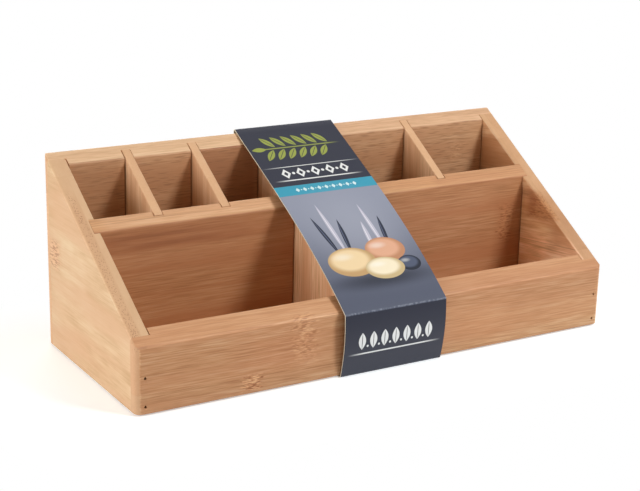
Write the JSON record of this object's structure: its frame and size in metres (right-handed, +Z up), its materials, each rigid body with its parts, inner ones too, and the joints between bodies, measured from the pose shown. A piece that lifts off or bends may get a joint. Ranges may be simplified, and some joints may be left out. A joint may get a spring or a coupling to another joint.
{
  "type": "vanity organizer",
  "caption": "Sloped bamboo make-up organizer with small upright cells behind two wide ones, and a printed card sleeve that slides off over either end.",
  "frame": {"origin": "under the middle of the wooden box's footprint, on the surface that the card sleeve's underside lies on", "axes": "+X along the box to the right as seen from the front, +Y from the low front to the high back, +Z up"},
  "size_m": [0.23, 0.097, 0.0867],
  "materials": {
    "bamboo_sides": "sanded bamboo, clear satin lacquer",
    "bamboo_front": "sanded bamboo, clear satin lacquer",
    "bamboo_back": "sanded bamboo, clear satin lacquer",
    "bamboo_long_divider": "sanded bamboo, clear satin lacquer",
    "bamboo_short_dividers": "sanded bamboo, clear satin lacquer",
    "bamboo_base": "sanded bamboo, unlacquered",
    "brad_steel": "plain wire, darkened",
    "printed_card": "offset print with a matt coating"
  },
  "bodies": {
    "organizer": {"left_side": "bamboo_sides", "right_side": "bamboo_sides", "front_panel": "bamboo_front", "back_panel": "bamboo_back", "base_panel": "bamboo_base", "long_divider": "bamboo_long_divider", "front_divider": "bamboo_short_dividers", "rear_divider_1": "bamboo_short_dividers", "rear_divider_2": "bamboo_short_dividers", "rear_divider_3": "bamboo_short_dividers", "rear_divider_4": "bamboo_short_dividers", "rear_divider_5": "bamboo_short_dividers", "front_brads": "brad_steel", "back_brads": "brad_steel"},
    "sleeve": {"card_sleeve": "printed_card"}
  },
  "joints": [
    {"name": "sleeve_slide", "type": "slide", "parent": "organizer", "child": "sleeve", "axis": [1, 0, 0], "range_m": [-0.145, 0.145]}
  ]
}
